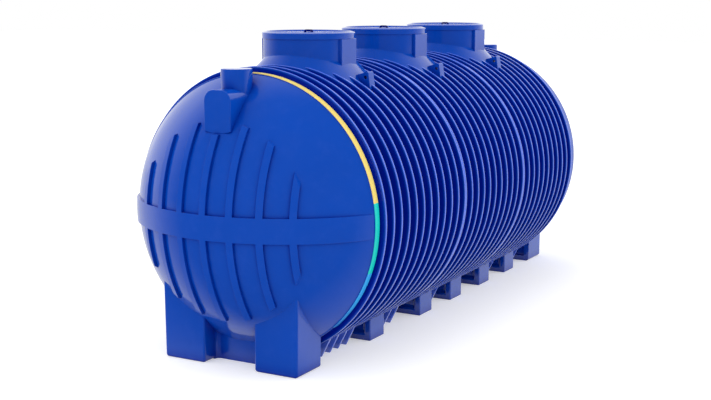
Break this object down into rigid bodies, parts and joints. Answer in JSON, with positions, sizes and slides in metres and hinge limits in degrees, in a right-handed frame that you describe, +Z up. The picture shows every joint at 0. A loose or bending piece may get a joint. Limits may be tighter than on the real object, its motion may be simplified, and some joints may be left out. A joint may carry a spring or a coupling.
{
  "type": "plastic storage tank",
  "caption": "Horizontal ribbed plastic tank with domed ends, capped manhole necks, pipe stubs, lifting ears and moulded feet, for storing water or wastewater.",
  "frame": {"origin": "on the ground under the middle of the tank", "axes": "+X along the tank from the inlet dome to the outlet dome, +Z up"},
  "size_m": [5.9916, 2.3996, 2.688],
  "materials": {
    "tank": "smooth moulded polyethylene, satin blue",
    "lid": "smooth moulded polyethylene, satin blue",
    "lid_handle": "dark blue moulded plastic",
    "rim_stripe_yellow": "printed stripe, yellow",
    "rim_stripe_teal": "printed stripe, teal",
    "rim_stripe_sky": "printed stripe, light blue"
  },
  "bodies": {
    "root": {"feet_1a": "tank", "feet_2a": "tank", "feet_2b": "tank", "feet_3a": "tank", "feet_3b": "tank", "inlet_boss": "tank", "inlet_dome": "tank", "inlet_dome_belt": "tank", "inlet_dome_ribs": "tank", "inlet_foot": "tank", "inlet_stub": "tank", "lid_handle_1": "lid_handle", "lid_handle_2": "lid_handle", "lid_handle_3": "lid_handle", "lifting_lugs_1": "tank", "lifting_lugs_2": "tank", "lifting_lugs_3": "tank", "manhole_lid_1": "lid", "manhole_lid_2": "lid", "manhole_lid_3": "lid", "manhole_neck_1": "tank", "manhole_neck_2": "tank", "manhole_neck_3": "tank", "module_1_crown": "tank", "module_1_keel": "tank", "module_1_staves_a": "tank", "module_1_staves_b": "tank", "module_2_crown": "tank", "module_2_keel": "tank", "module_2_staves_a": "tank", "module_2_staves_b": "tank", "module_3_crown": "tank", "module_3_keel": "tank", "module_3_staves_a": "tank", "module_3_staves_b": "tank", "outlet_boss": "tank", "outlet_dome": "tank", "outlet_dome_belt": "tank", "outlet_dome_ribs": "tank", "outlet_foot": "tank", "outlet_stub": "tank", "rim_stripe_sky": "rim_stripe_sky", "rim_stripe_teal": "rim_stripe_teal", "rim_stripe_yellow": "rim_stripe_yellow"}
  },
  "joints": []
}
